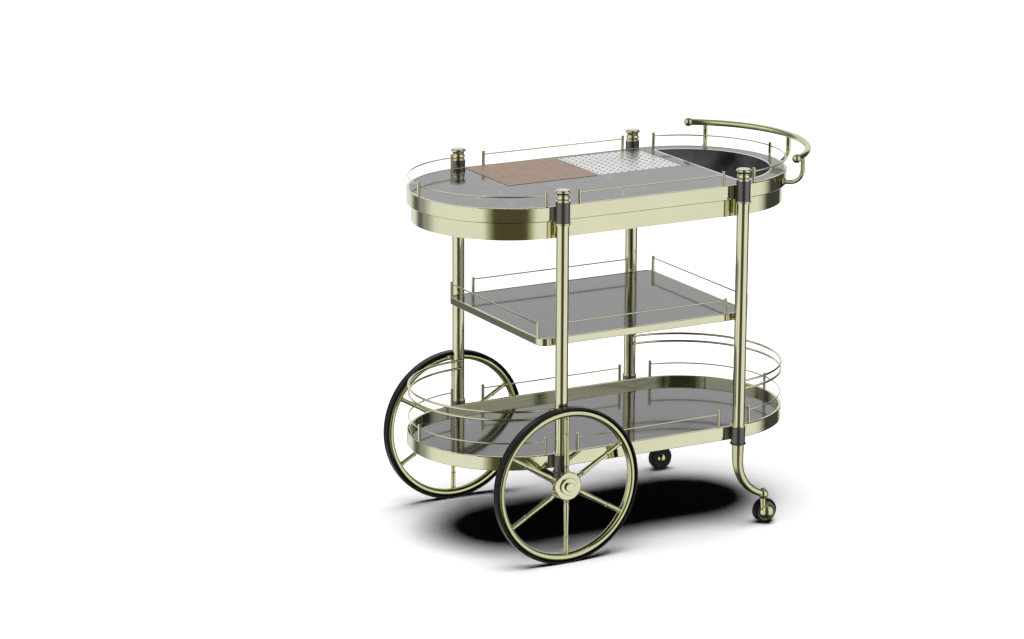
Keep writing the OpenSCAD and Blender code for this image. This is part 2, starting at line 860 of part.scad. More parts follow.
module guard_rods_right() {
    color(brass) in_frame() guard_rods();
}

// Handle

module in_handle_frame() {
    in_frame() translate([end_x, 0, handle_z]) children();
}

module handle_tube(half_angle, r) {
    rotate([0, 0, -half_angle]) rotate_extrude(angle = 2 * half_angle)
        translate([handle_r, 0]) circle(r);
}

module handle_end_balls(r) {
    both_sides() rotate([0, 0, handle_half_angle]) translate([handle_r, 0, 0]) sphere(r);
}

module handle_bar() {
    color(brass) in_handle_frame() difference() {
        handle_tube(handle_half_angle, handle_bar_r);
        handle_end_balls(handle_ball_d / 2 + fit);
    }
}

module handle_balls() {
    color(brass) in_handle_frame() handle_end_balls(handle_ball_d / 2);
}

// Places children at each arm, with X pointing outwards along the arm
module at_each_arm() {
    for (angle = [-arm_angle, 0, arm_angle])
        in_frame() translate([end_x, 0, 0]) rotate([0, 0, angle]) children();
}

// An arm runs straight out of its flange, bends upwards and meets the bar from below
module handle_arms() {
    start = deck_r + flange_t;
    bend_x = handle_r - arm_bend_r;
    rise_z = flange_z + arm_bend_r;
    arm_r = arm_d / 2;
    color(brass) at_each_arm() difference() {
        union() {
            translate([start, 0, flange_z]) rotate([0, 90, 0])
                cylinder(h = bend_x - start, r = arm_r);
            translate([bend_x, 0, rise_z]) rotate([90, 0, 0]) rotate([0, 0, -90])
                rotate_extrude(angle = 90) translate([arm_bend_r, 0]) circle(arm_r);
            translate([handle_r, 0, rise_z]) cylinder(h = handle_z - rise_z, r = arm_r);
        }
        translate([0, 0, handle_z]) rotate([0, 0, -arm_angle / 2])
            rotate_extrude(angle = arm_angle) translate([handle_r, 0]) circle(handle_bar_r + fit);
    }
}

module handle_flanges() {
    edge = flange_t / 4;
    color(brass) at_each_arm() difference() {
        translate([deck_r - rim_wall, 0, flange_z]) rotate([0, 90, 0]) {
            cylinder(h = rim_wall + flange_t - edge, d = flange_d);
            translate([0, 0, rim_wall + flange_t - edge])
                cylinder(h = edge, d1 = flange_d, d2 = flange_d - 2 * edge);
        }
        cylinder(h = 2 * top_z, r = deck_r, $fn = 360);
    }
}

// Stem rack: pairs of angle rails under the panel, with a stop along the back
module rack_rail() {
    foot = (rack_foot_w - rack_slot) / 2 + rack_t;
    translate([0, rack_front_y, 0]) {
        cube([rack_t, rack_len, rack_h + rack_t]);
        translate([rack_t, 0, 0]) cube([foot - rack_t, rack_len, rack_t]);
    }
}

module stem_rack() {
    half = rack_foot_w / 2 + rack_t;
    color(steel) in_frame() for (channel = [0 : rack_channels - 1])
        translate([(channel - (rack_channels - 1) / 2) * rack_pitch - rack_left, 0, rack_bottom]) {
            translate([-half, 0, 0]) rack_rail();
            mirror([1, 0, 0]) translate([-half, 0, 0]) rack_rail();
            translate([-rack_foot_w / 2, rack_rear_y - rack_t, rack_t])
                cube([rack_foot_w, rack_t, rack_h]);
        }
}

// Legs: tapering bent tubes, swept along a straight run, a bend and a short tip

// A point of the leg's centre line and its diameter, for s from 0 at the collar to 1
leg_run = post_bottom - leg_bend_z;
leg_arc_len = leg_bend_r * leg_angle * PI / 180;
leg_len = leg_run + leg_arc_len + leg_tip_run;

function leg_turn(d) =
    d < leg_run ? 0 : min(leg_angle, (d - leg_run) * 180 / PI / leg_bend_r);

function leg_point(d) =
    let (a = leg_turn(d), past = max(0, d - leg_run - leg_arc_len))
    [
        leg_bend_r * (1 - cos(a)) + past * sin(a),
        post_bottom - min(d, leg_run) - leg_bend_r * sin(a) - past * cos(a)
    ];

function leg_radius(d) =
    let (collar_run = post_bottom - lower_collar_bottom)
    d < collar_run ? post_r
        : post_r + (leg_tip_d / 2 - post_r) * (d - collar_run) / (leg_len - collar_run);

module leg() {
    sides = 28;
    rings = 26;
    points = [
        for (i = [0 : rings])
            let (d = leg_len * i / rings, c = leg_point(d), a = leg_turn(d), r = leg_radius(d))
            for (j = [0 : sides - 1])
                let (t = 360 * j / sides)
                [c[0] + r * cos(t) * cos(a), r * sin(t), c[1] + r * cos(t) * sin(a)]
    ];
    walls = [
        for (i = [0 : rings - 1], j = [0 : sides - 1])
            let (k = (j + 1) % sides, a = i * sides, b = a + sides)
            each [[a + j, b + j, a + k], [a + k, b + j, b + k]]
    ];
    first = [for (j = [0 : sides - 1]) j];
    last = [for (j = [sides - 1 : -1 : 0]) rings * sides + j];
    polyhedron(points = points, faces = concat([first], walls, [last]), convexity = 4);
}

module leg_at(y_side) {
    color(brass) in_frame() difference() {
        translate([post_x, y_side * post_y, 0]) leg();
        translate([stem_x, y_side * post_y, socket_z]) sphere(socket_r + fit);
        translate([stem_x, y_side * post_y, socket_z]) cylinder(h = socket_d, r = stem_head_r + 2 * clear);
    }
}

module leg_sockets() {
    color(brass) in_frame() both_sides() translate([stem_x, post_y, socket_z])
        difference() {
            intersection() {
                sphere(socket_r);
                cube([2 * socket_r, 2 * socket_r, 2 * socket_flat], center = true);
            }
            cylinder(h = 2 * socket_d, r = stem_d / 2 + running, center = true);
        }
}

// Axle and its supports

module along_y(h, r) {
    rotate([90, 0, 0]) cylinder(h = h, r = r, center = true);
}

module at_axle() {
    in_frame() translate([-post_x, 0, wheel_r]) children();
}

module axle_tube() {
    tube_len = 2 * (hub_inner_y - clear);
    bush_len = 20;
    color(gunmetal) at_axle() difference() {
        along_y(tube_len, axle_tube_d / 2);
        along_y(tube_len + 2 * over, axle_d / 2 + fit);
        along_y(tube_len - 2 * bush_len, axle_tube_d / 2 - axle_tube_wall);
    }
}

// A sleeve round the axle tube with a stub that fills the collar's lower end
module axle_brackets() {
    sleeve_wall = 4;
    sleeve_past_post = 1;
    sleeve_r = axle_tube_d / 2 + sleeve_wall;
    sleeve_len = post_d + 2 * sleeve_past_post;
    color(gunmetal) at_axle() both_sides() translate([0, post_y, 0]) difference() {
        union() {
            along_y(sleeve_len, sleeve_r);
            cylinder(h = post_bottom - wheel_r, r = post_r);
        }
        along_y(sleeve_len + 2 * over, axle_tube_d / 2 + fit);
    }
}

module axle() {
    color(steel) at_axle() along_y(2 * (hub_inner_y + axle_end), axle_d / 2);
}

// Nuts run in the hubs' pockets, hidden by the caps
module axle_nuts() {
    corner_r = nut_af / 2 / cos(30);
    color(steel) at_axle() both_sides()
        translate([0, hub_inner_y + hub_bore_len + clear, 0]) rotate([-90, 0, 0])
            difference() {
                cylinder(h = nut_t, r = corner_r, $fn = 6);
                translate([0, 0, -over]) cylinder(h = nut_t + 2 * over, r = axle_d / 2 + fit);
            }
}

// Large wheels, modelled with Z along the axle, outwards from the hub's inner face

module at_wheel(y_side) {
    at_axle() mirror([0, y_side < 0 ? 1 : 0, 0]) translate([0, hub_inner_y, 0])
        rotate([-90, 0, 0]) children();
}

wheel_mid = wheel_y - hub_inner_y;

module tyre() {
    edge = tyre_t / 2;
    color(rubber) translate([0, 0, wheel_mid]) rotate_extrude() {
        translate([tyre_inner_r, -tyre_w / 2]) square([tyre_t - edge, tyre_w]);
        translate([tyre_inner_r, -tyre_w / 2 + edge]) square([tyre_t, tyre_w - 2 * edge]);
        for (side = [-1, 1])
            translate([wheel_r - edge, side * (tyre_w / 2 - edge)]) circle(edge);
    }
}

module wheel_rim() {
    color(brass) translate([0, 0, wheel_mid]) rotate_extrude() {
        translate([tyre_inner_r - fit - seat_t, -seat_w / 2]) square([seat_t, seat_w]);
        translate([rim_bead_line, 0]) circle(rim_bead_r);
    }
}

// A raised ring turned on a spoke
module spoke_bead(z, core_r) {
    bead_r = spoke_swell_d / 2 - core_r + spoke_bead_sunk;
    translate([0, 0, z]) rotate_extrude()
        translate([core_r - spoke_bead_sunk, 0]) circle(bead_r, $fn = 24);
}

module spoke() {
    swell_r = spoke_swell_d / 2;
    waist_r = spoke_waist_d / 2;
    outer_r = spoke_outer_d / 2;
    translate([0, 0, spoke_root_z])
        cylinder(h = spoke_root_end - spoke_root_z, r = waist_r + spoke_root_extra, $fn = 32);
    translate([0, 0, spoke_root_end])
        cylinder(h = spoke_swell_z - spoke_root_end, r1 = waist_r, r2 = swell_r, $fn = 32);
    translate([0, 0, spoke_swell_z])
        cylinder(h = spoke_ring_z - spoke_swell_z, r1 = swell_r, r2 = waist_r, $fn = 32);
    translate([0, 0, spoke_ring_z])
        cylinder(h = spoke_end + rim_bead_r / 2 - spoke_ring_z, r = outer_r, $fn = 32);
    spoke_bead(spoke_first_bead_z, waist_r);
    spoke_bead(spoke_ring_z, outer_r);
    spoke_bead(spoke_last_bead_z, outer_r);
}

module spokes() {
    color(brass) translate([0, 0, wheel_mid]) difference() {
        for (i = [0 : spoke_count - 1])
            rotate([0, 0, 90 + i * 360 / spoke_count]) rotate([0, 90, 0]) spoke();
        cylinder(h = 2 * hub_len, r = hub_d / 2 + fit, center = true);
        rotate_extrude() translate([rim_bead_line, 0]) circle(rim_bead_r + fit);
    }
}

module hub() {
    r = hub_d / 2;
    edge = 2;
    ring_edge = 1;
    ring_top = hub_len + hub_ring_h;
    color(brass) difference() {
        union() {
            cylinder(h = edge, r1 = r - edge, r2 = r);
            translate([0, 0, edge]) cylinder(h = hub_len - 2 * edge, r = r);
            translate([0, 0, hub_len - edge]) cylinder(h = edge, r1 = r, r2 = r - edge);
            translate([0, 0, hub_len]) cylinder(h = hub_ring_h - ring_edge, d = hub_ring_d);
            translate([0, 0, ring_top - ring_edge])
                cylinder(h = ring_edge, d1 = hub_ring_d, d2 = hub_ring_d - 2 * ring_edge);
        }
        translate([0, 0, -over]) cylinder(h = ring_top, r = axle_d / 2 + running);
        translate([0, 0, hub_bore_len]) cylinder(h = ring_top, r = nut_pocket_r);
    }
}

// The cap closes the nut's pocket
module hub_cap() {
    face_z = hub_len + hub_ring_h;
    spigot_h = hub_ring_h - cap_spigot_gap;
    edge = 1;
    color(brass) {
        translate([0, 0, face_z - spigot_h]) cylinder(h = spigot_h, r = nut_pocket_r - fit);
        translate([0, 0, face_z]) cylinder(h = hub_cap_h - edge, d = hub_cap_d);
        translate([0, 0, face_z + hub_cap_h - edge])
            cylinder(h = edge, d1 = hub_cap_d, d2 = hub_cap_d - 2 * edge);
    }
}

// Casters: a stem through the leg's ball, a neck and a round hood beside the wheel

module at_caster(y_side) {
    in_frame() mirror([0, y_side < 0 ? 1 : 0, 0]) children();
}

module caster_yoke() {
    ball_bottom = socket_z - socket_flat;
    ball_top = socket_z + socket_flat;
    head_h = stem_d / 2;
    head_top_r = 0.6 * stem_head_r;
    color(brass) difference() {
        union() {
            translate([stem_x, post_y, ball_bottom - clear])
                cylinder(h = ball_top - ball_bottom + 2 * clear, d = stem_d);
            translate([stem_x, post_y, ball_top + clear]) {
                cylinder(h = head_h / 2, r = stem_head_r);
                translate([0, 0, head_h / 2])
                    cylinder(h = head_h / 2, r1 = stem_head_r, r2 = head_top_r);
            }
            translate([stem_x, post_y, caster_r])
                cylinder(h = ball_bottom - clear - caster_r, d = neck_d);
            translate([caster_x, hood_cut_y, caster_r]) sphere(d = hood_d);
        }
        translate([caster_x, hood_cut_y - hood_d, caster_r]) rotate([-90, 0, 0])
            cylinder(h = hood_d, r = caster_r + clear);
        translate([caster_x, hood_cut_y - hood_d, caster_r]) rotate([-90, 0, 0])
            cylinder(h = hood_d + pin_depth, r = caster_pin_d / 2 + fit);
    }
}

module caster_wheel() {
    edge = 4;
    color(rubber) translate([caster_x, caster_y, caster_r]) rotate([90, 0, 0]) difference() {
        rotate_extrude() {
            translate([0, -caster_w / 2]) square([caster_r - edge, caster_w]);
            translate([0, -caster_w / 2 + edge]) square([caster_r, caster_w - 2 * edge]);
            for (side = [-1, 1])
                translate([caster_r - edge, side * (caster_w / 2 - edge)]) circle(edge);
        }
        cylinder(h = 2 * caster_w, r = caster_pin_d / 2 + running, center = true);
    }
}

// The pin runs from inside the hood through the wheel to a domed cap
module caster_axle() {
    pin_out = hood_cut_y + pin_depth - fit;
    cap_y = caster_y - caster_w / 2 - clear;
    cap_r = caster_cap_d / 2;
    color(brass) translate([caster_x, 0, caster_r]) {
        translate([0, cap_y, 0]) rotate([-90, 0, 0])
            cylinder(h = pin_out - cap_y, d = caster_pin_d);
        translate([0, cap_y, 0]) intersection() {
            translate([0, cap_r / 2, 0]) sphere(cap_r * sqrt(1.25));
            rotate([90, 0, 0]) cylinder(h = cap_r, r = cap_r);
        }
    }
}

post_at(-1, -1);  // post_front_left
post_at(1, -1);  // post_front_right
post_at(-1, 1);  // post_rear_left
post_at(1, 1);  // post_rear_right
finials();
upper_collars();
lower_collars();
top_rim();
top_slab();
top_apron();
top_underpanel();
cutting_board();
drip_plate();
drip_tray();
ice_well();
top_gallery_posts();
top_gallery_left_wire();
top_gallery_right_wire();
top_gallery_side_wires();
shelf_rim();
shelf_slab();
shelf_gallery_posts();
shelf_gallery_wires();
shelf_standoffs();
lower_rim();
lower_slab();
lower_gallery_posts();
lower_gallery_left_wire();
lower_gallery_right_wire();
lower_gallery_side_wires();
guard_rods_left();
guard_rods_right();
handle_bar();
handle_balls();
handle_arms();
handle_flanges();
stem_rack();
leg_at(-1);  // leg_front
leg_at(1);  // leg_rear
leg_sockets();
axle_tube();
axle_brackets();
axle();
axle_nuts();
at_wheel(-1) tyre();  // tyre_front
at_wheel(-1) wheel_rim();  // wheel_rim_front
at_wheel(-1) spokes();  // spokes_front
at_wheel(-1) hub();  // hub_front
at_wheel(-1) hub_cap();  // hub_cap_front
at_wheel(1) tyre();  // tyre_rear
at_wheel(1) wheel_rim();  // wheel_rim_rear
at_wheel(1) spokes();  // spokes_rear
at_wheel(1) hub();  // hub_rear
at_wheel(1) hub_cap();  // hub_cap_rear
at_caster(-1) caster_yoke();  // caster_yoke_front
at_caster(-1) caster_wheel();  // caster_wheel_front
at_caster(-1) caster_axle();  // caster_axle_front
at_caster(1) caster_yoke();  // caster_yoke_rear
at_caster(1) caster_wheel();  // caster_wheel_rear
at_caster(1) caster_axle();  // caster_axle_rear
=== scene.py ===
"""Finishes, studio light, floor and camera for a beverage service trolley.

Lengths are in metres and angles in degrees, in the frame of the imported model: +X runs towards
the push handle, +Y towards the rear side and +Z up, with the floor at zero.
"""
import json
import math

import bmesh
import bpy
from mathutils import Matrix, Vector


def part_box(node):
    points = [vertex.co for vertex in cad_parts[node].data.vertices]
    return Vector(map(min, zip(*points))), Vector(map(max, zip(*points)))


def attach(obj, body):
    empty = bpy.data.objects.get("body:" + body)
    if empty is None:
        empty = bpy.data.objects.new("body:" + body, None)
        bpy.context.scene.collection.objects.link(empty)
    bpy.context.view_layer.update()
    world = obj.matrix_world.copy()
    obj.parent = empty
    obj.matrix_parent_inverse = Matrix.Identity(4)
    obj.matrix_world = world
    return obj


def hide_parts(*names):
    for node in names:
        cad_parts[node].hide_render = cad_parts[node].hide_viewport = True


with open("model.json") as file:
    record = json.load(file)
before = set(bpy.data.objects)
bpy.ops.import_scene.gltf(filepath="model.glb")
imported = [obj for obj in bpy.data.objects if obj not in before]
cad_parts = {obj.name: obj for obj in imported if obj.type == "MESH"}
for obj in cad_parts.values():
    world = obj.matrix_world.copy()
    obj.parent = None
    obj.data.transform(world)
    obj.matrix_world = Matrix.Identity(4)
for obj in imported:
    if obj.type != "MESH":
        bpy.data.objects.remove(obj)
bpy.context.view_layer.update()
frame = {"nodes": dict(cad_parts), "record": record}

# The camera of the photograph, placed from the middle of the decks
CAMERA_FROM_DECKS = (-4.0980, -7.0478, 2.6610)
CAMERA_TURN = -28.688
CAMERA_DROP = 14.826
CAMERA_ROLL = 0.234
CAMERA_REACH = 200.0
SENSOR_MILLIMETRES = 36.0
FOCAL_PIXELS = 3405.56
PICTURE_WIDTH = 1024

# The studio
FLOOR_SPAN = 60.0
# To the camera, so that the floor is plain white outside the shadow
FLOOR_COLOR = (1.32, 1.32, 1.32)
# To other rays, which is what the floor gives back to the trolley's underside
FLOOR_BOUNCE = (0.12, 0.12, 0.12)
FLOOR_ROUGHNESS = 0.9
SUN_STRENGTH = 3.3
SUN_SPREAD = 55.0
SUN_FROM = (-0.07, -0.07, 1.0)
AMBIENT = (0.002, 0.002, 0.002)
WHITE = (1.0, 1.0, 1.0)
PALE = (0.90, 0.90, 0.90)
NEAR_WHITE = (0.94, 0.94, 0.94)
WARM_DARK = (0.09, 0.084, 0.048)
WARM_EDGE = (0.45, 0.45, 0.31)
# Colour of the room against the azimuth, counted from -Y towards +X
ROOM_WALLS = (
    (-180, PALE), (-172, PALE), (-159, (0.14, 0.14, 0.14)), (-152, (0.16, 0.16, 0.16)),
    (-146, (0.36, 0.36, 0.36)), (-138, (0.42, 0.42, 0.42)), (-124, NEAR_WHITE), (-116, WHITE),
    (-57, WHITE), (-50, WARM_EDGE), (-44, (0.11, 0.10, 0.06)), (-39, WARM_DARK),
    (-10, WARM_DARK), (-6, (0.12, 0.115, 0.07)), (-1, WARM_EDGE), (5, (0.94, 0.94, 0.92)),
    (11, WHITE), (62, WHITE), (70, (0.78, 0.78, 0.78)), (77, (0.30, 0.30, 0.30)),
    (82, (0.065, 0.065, 0.065)), (118, (0.07, 0.07, 0.07)), (128, (0.85, 0.85, 0.85)),
    (180, PALE),
)
# How bright the room is against the sine of the elevation
ROOM_HEIGHTS = (
    (-1.0, (0.05, 0.05, 0.05)), (-0.72, (0.10, 0.10, 0.10)), (-0.5, WHITE),
    (0.62, WHITE), (0.86, (0.45, 0.45, 0.45)), (1.0, (0.40, 0.40, 0.40)),
)

BRASS = (0.70, 0.69, 0.485)
# A darker, warmer copy of BRASS: its darkening is painted shade for the darker reflections on
# these parts
SHADED_BRASS = (0.62, 0.62, 0.365)
GUNMETAL = (0.16, 0.155, 0.162)
STEEL = (0.78, 0.78, 0.80)
PLATE_STEEL = (0.90, 0.90, 0.91)
TRAY_STEEL = (0.30, 0.30, 0.31)
LIP_STEEL = (0.92, 0.92, 0.92)
# How many times as bright a finish is in its tarnished patches, brushed lines and scuffs
TARNISHED = 0.96
BRUSHED = 0.93
SCUFFED = 1.6
TYRE_BLACK = (0.012, 0.0115, 0.011)
TYRE_ROUGHNESS = 0.3
CASTER_BLACK = (0.008, 0.008, 0.008)
CASTER_ROUGHNESS = 0.45
# A painted highlight on the caster wheel's outer face, for the glint of the hood's rim
HIGHLIGHT_RING_OLIVE = (0.42, 0.41, 0.29)
HIGHLIGHT_RING_RADIUS = 0.0222
HIGHLIGHT_RING_WIDTH = 0.0011
# Thickness of the ice well's lip
WELL_LIP = 0.001
# Nodes that take the darker copy of the brass, as painted shade
SHADED_BRASS_NODES = (
    "handle_bar", "handle_balls", "handle_arms", "handle_flanges", "spokes_front", "spokes_rear",
    "leg_front", "leg_rear", "leg_sockets", "caster_yoke_front", "caster_yoke_rear",
    "caster_axle_front", "caster_axle_rear",
)

# Depth of a wheel's brass rim, from the tyre's seat to the spokes' ends
RIM_DEPTH = 0.0182
RIM_STEPS = 160
TUBE_STEPS = 36


def new_material(name, roughness, metallic=0.0):
    """A node material and its surface shader."""
    made = bpy.data.materials.new(name)
    made.use_nodes = True
    shader = made.node_tree.nodes["Principled BSDF"]
    shader.inputs["Roughness"].default_value = roughness
    shader.inputs["Metallic"].default_value = metallic
    return made, shader


def add_node(tree, kind, **settings):
    """A node of one kind, with properties and input values set by name."""
    made = tree.nodes.new(kind)
    for key, value in settings.items():
        if hasattr(made, key):
            setattr(made, key, value)
        else:
            made.inputs[key.replace("_", " ")].default_value = value
    return made


def feed(tree, value, socket):
    """Gives an input another node's output, or else a fixed value or colour."""
    if isinstance(value, bpy.types.NodeSocket):
        tree.links.new(value, socket)
    elif socket.type == "RGBA":
        socket.default_value = (*value, 1.0)
    else:
        socket.default_value = value


def math_of(tree, operation, *values):
    """A number worked out from numbers."""
    made = add_node(tree, "ShaderNodeMath", operation=operation)
    for value, socket in zip(values, made.inputs):
        feed(tree, value, socket)
    return made.outputs["Value"]


def vector_of(tree, operation, *values):
    """A vector worked out from vectors, or its length."""
    made = add_node(tree, "ShaderNodeVectorMath", operation=operation)
    for value, socket in zip(values, made.inputs):
        feed(tree, value, socket)
    return made.outputs["Value" if operation == "LENGTH" else "Vector"]


def axes_of(tree, vector):
    """The three numbers of a vector, by the axes' names."""
    made = tree.nodes.new("ShaderNodeSeparateXYZ")
    tree.links.new(vector, made.inputs["Vector"])
    return made.outputs


def ramp(tree, factor, stops):
    """A colour ramp with stops of (place, colour), driven by one output."""
    made = tree.nodes.new("ShaderNodeValToRGB")
    elements = made.color_ramp.elements
    while len(elements) < len(stops):
        elements.new(0.5)
    for element, (place, color) in zip(elements, stops):
        element.position = place
        element.color = (*color, 1.0)
    tree.links.new(factor, made.inputs["Fac"])
    return made.outputs["Color"]


def choose(tree, share, when, otherwise):
    """One colour where a share is one, and another where it is zero."""
    mix = tree.nodes.new("ShaderNodeMix")
    mix.data_type = "RGBA"
    tree.links.new(share, mix.inputs["Factor"])
    feed(tree, when, mix.inputs["B"])
    feed(tree, otherwise, mix.inputs["A"])
    return mix.outputs["Result"]


def grey(level):
    """A grey of one level."""
    return (level, level, level)


def place_in_part(tree, scale=(1.0, 1.0, 1.0), turn=(0.0, 0.0, 0.0)):
    """The point on the part, in metres, turned and then scaled."""
    coordinates = tree.nodes.new("ShaderNodeTexCoord")
    mapping = add_node(tree, "ShaderNodeMapping", Scale=scale, Rotation=turn)
    tree.links.new(coordinates.outputs["Object"], mapping.inputs["Vector"])
    return mapping.outputs["Vector"]


def noise(tree, place, scale, detail=3.0, roughness=0.5, distortion=0.0):
    """Smooth noise at a scale in features per metre."""
    made = add_node(tree, "ShaderNodeTexNoise", Scale=scale, Detail=detail, Distortion=distortion)
    made.inputs["Roughness"].default_value = roughness
    tree.links.new(place, made.inputs["Vector"])
    return made.outputs["Fac"]


def bump(tree, shader, height, distance, strength=0.3):
    """Raises the surface by a height pattern of so many metres."""
    made = add_node(tree, "ShaderNodeBump", Distance=distance, Strength=strength)
    tree.links.new(height, made.inputs["Height"])
    tree.links.new(made.outputs["Normal"], shader.inputs["Normal"])


def vary_roughness(tree, shader, factor, low, high):
    """Roughness that runs from low to high with a pattern."""
    made = add_node(tree, "ShaderNodeMapRange", To_Min=low, To_Max=high)
    tree.links.new(factor, made.inputs["Value"])
    tree.links.new(made.outputs["Result"], shader.inputs["Roughness"])


def polished_metal(name, color, low, high):
    """Cast and turned metal: a light tarnish in soft patches and fine polishing marks."""
    made, shader = new_material(name, (low + high) / 2, metallic=1.0)
    tree = made.node_tree
    place = place_in_part(tree)
    dull = tuple(channel * TARNISHED for channel in color)
    patches = noise(tree, place, scale=9.0, detail=4.0)
    tones = ramp(tree, patches, ((0.35, dull), (0.65, color)))
    tree.links.new(tones, shader.inputs["Base Color"])
    marks = noise(tree, place, scale=420.0, detail=2.0)
    vary_roughness(tree, shader, marks, low, high)
    bump(tree, shader, marks, distance=0.000005)
    return made


def marble(name):
    """Black marble with fine white veins, polished."""
    made, shader = new_material(name, 0.09)
    tree = made.node_tree
    place = place_in_part(tree, scale=(1.0, 1.5, 1.0), turn=(0.0, 0.0, math.radians(34)))
    drift = noise(tree, place, scale=5.0, detail=5.0, roughness=0.6)
    drift_reach = (0.5, 0.35, 0.2)
    drifted = vector_of(tree, "MULTIPLY_ADD", drift, drift_reach, place)
    cells = add_node(tree, "ShaderNodeTexVoronoi", feature="DISTANCE_TO_EDGE", Scale=6.0)
    tree.links.new(drifted, cells.inputs["Vector"])
    dark = (0.012, 0.012, 0.014)
    cloud = (0.030, 0.030, 0.034)
    white = (0.55, 0.55, 0.54)
    veins = ramp(tree, cells.outputs["Distance"], ((0.0, white), (0.007, cloud), (0.04, dark)))
    clouds = noise(tree, place, scale=14.0, detail=6.0, roughness=0.6)
    veined = ramp(tree, clouds, ((0.44, grey(0.0)), (0.6, grey(1.0))))
    tree.links.new(choose(tree, veined, veins, dark), shader.inputs["Base Color"])
    shader.inputs["Coat Weight"].default_value = 0.42
    shader.inputs["Coat Roughness"].default_value = 0.04
    vary_roughness(tree, shader, clouds, 0.07, 0.13)
    return made


def walnut(name):
    """Oiled walnut: long grain in three brown tones, with fine pores."""
    made, shader = new_material(name, 0.42)
    tree = made.node_tree
    place = place_in_part(tree, scale=(1.0, 0.06, 1.0))
    grain = noise(tree, place, scale=260.0, detail=6.0, roughness=0.65, distortion=0.3)
    dark = (0.16, 0.094, 0.06)
    middle = (0.28, 0.182, 0.128)
    light = (0.40, 0.28, 0.205)
    tones = ramp(tree, grain, ((0.25, dark), (0.5, middle), (0.75, light)))
    tree.links.new(tones, shader.inputs["Base Color"])
    vary_roughness(tree, shader, grain, 0.36, 0.5)
    bump(tree, shader, grain, distance=0.0002)
    return made


def brushed_steel(name, color, low, high):
    """Steel with a fine brushing along the trolley."""
    made, shader = new_material(name, (low + high) / 2, metallic=1.0)
    tree = made.node_tree
    place = place_in_part(tree, scale=(0.03, 1.0, 1.0))
    dull = tuple(channel * BRUSHED for channel in color)
    lines = noise(tree, place, scale=900.0, detail=2.0)
    tones = ramp(tree, lines, ((0.3, dull), (0.7, color)))
    tree.links.new(tones, shader.inputs["Base Color"])
    vary_roughness(tree, shader, lines, low, high)
    bump(tree, shader, lines, distance=0.00002)
    return made


def moulded_rubber(name, color, roughness):
    """Moulded rubber: a dull skin with light scuffs and a fine grit."""
    made, shader = new_material(name, roughness)
    shader.inputs["Specular IOR Level"].default_value = 0.22
    tree = made.node_tree
    place = place_in_part(tree)
    worn = tuple(channel * SCUFFED for channel in color)
    scuffs = noise(tree, place, scale=60.0, detail=6.0, roughness=0.7)
    tones = ramp(tree, scuffs, ((0.4, color), (0.75, worn)))
    tree.links.new(tones, shader.inputs["Base Color"])
    vary_roughness(tree, shader, scuffs, roughness - 0.06, roughness + 0.08)
    grit = noise(tree, place, scale=1500.0, detail=2.0)
    bump(tree, shader, grit, distance=0.00005, strength=0.5)
    return made


def shaded_well(name):
    """The inside of the ice well as a dark non-metal with lighter cloudy patches, painted shade
    of its recess and painted reflections, with its metal lip left bright.
    """
    made, shader = new_material(name, 0.2)
    tree = made.node_tree
    place = place_in_part(tree)
    clouds = noise(tree, place, scale=7.0, detail=3.0)
    # Painted shade inside the well, with lighter cloudy patches as painted reflections
    shade_and_reflections = ramp(tree, clouds, ((0.36, grey(0.05)), (0.64, grey(0.33))))
    well_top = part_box("ice_well")[1][2]
    lip = math_of(tree, "GREATER_THAN", axes_of(tree, place)["Z"], well_top - WELL_LIP)
    tree.links.new(choose(tree, lip, LIP_STEEL, shade_and_reflections), shader.inputs["Base Color"])
    tree.links.new(lip, shader.inputs["Metallic"])
    vary_roughness(tree, shader, clouds, 0.12, 0.22)
    return made


def caster_rubber(name, node):
    """Caster tread with a painted highlight: a thin bright metallic ring round the hood on the
    wheel's outer face, for the glint of the hood's rim.
    """
    made = moulded_rubber(name, CASTER_BLACK, CASTER_ROUGHNESS)
    tree = made.node_tree
    shader = tree.nodes["Principled BSDF"]
    low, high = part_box(node)
    axle = ((low[0] + high[0]) / 2, 0.0, (low[2] + high[2]) / 2)
    offset = vector_of(tree, "SUBTRACT", place_in_part(tree), axle)
    along_face = vector_of(tree, "MULTIPLY", offset, (1.0, 0.0, 1.0))
    radius = vector_of(tree, "LENGTH", along_face)
    # The painted highlight: a thin ring round the axle on the outer face
    ring = math_of(tree, "COMPARE", radius, HIGHLIGHT_RING_RADIUS, HIGHLIGHT_RING_WIDTH / 2)
    outboard = math_of(tree, "MULTIPLY", axes_of(tree, offset)["Y"], math.copysign(1.0, low[1]))
    outer_face = math_of(tree, "GREATER_THAN", outboard, abs(low[1] + high[1]) / 2)
    shown = math_of(tree, "MULTIPLY", ring, outer_face)
    tread = shader.inputs["Base Color"].links[0].from_socket
    tree.links.new(choose(tree, shown, HIGHLIGHT_RING_OLIVE, tread), shader.inputs["Base Color"])
    tree.links.new(shown, shader.inputs["Metallic"])
    return made


def make_finishes():
    """A finish for each slot in the record, and a darker, warmer copy of the brass for some
    nodes, whose darkening is painted shade.
    """
    return {
        "brass": polished_metal("brass", BRASS, 0.05, 0.09),
        # The darker copy of the brass, whose darkening is painted shade
        "shaded_brass": polished_metal("shaded_brass", SHADED_BRASS, 0.06, 0.11),
        "gunmetal": polished_metal("gunmetal", GUNMETAL, 0.30, 0.40),
        "stone": marble("marble"),
        "walnut": walnut("walnut"),
        "steel": brushed_steel("steel", STEEL, 0.16, 0.26),
        "rubber": moulded_rubber("tyre_rubber", TYRE_BLACK, TYRE_ROUGHNESS),
        "caster_tread": moulded_rubber("caster_tread", CASTER_BLACK, CASTER_ROUGHNESS),
    }


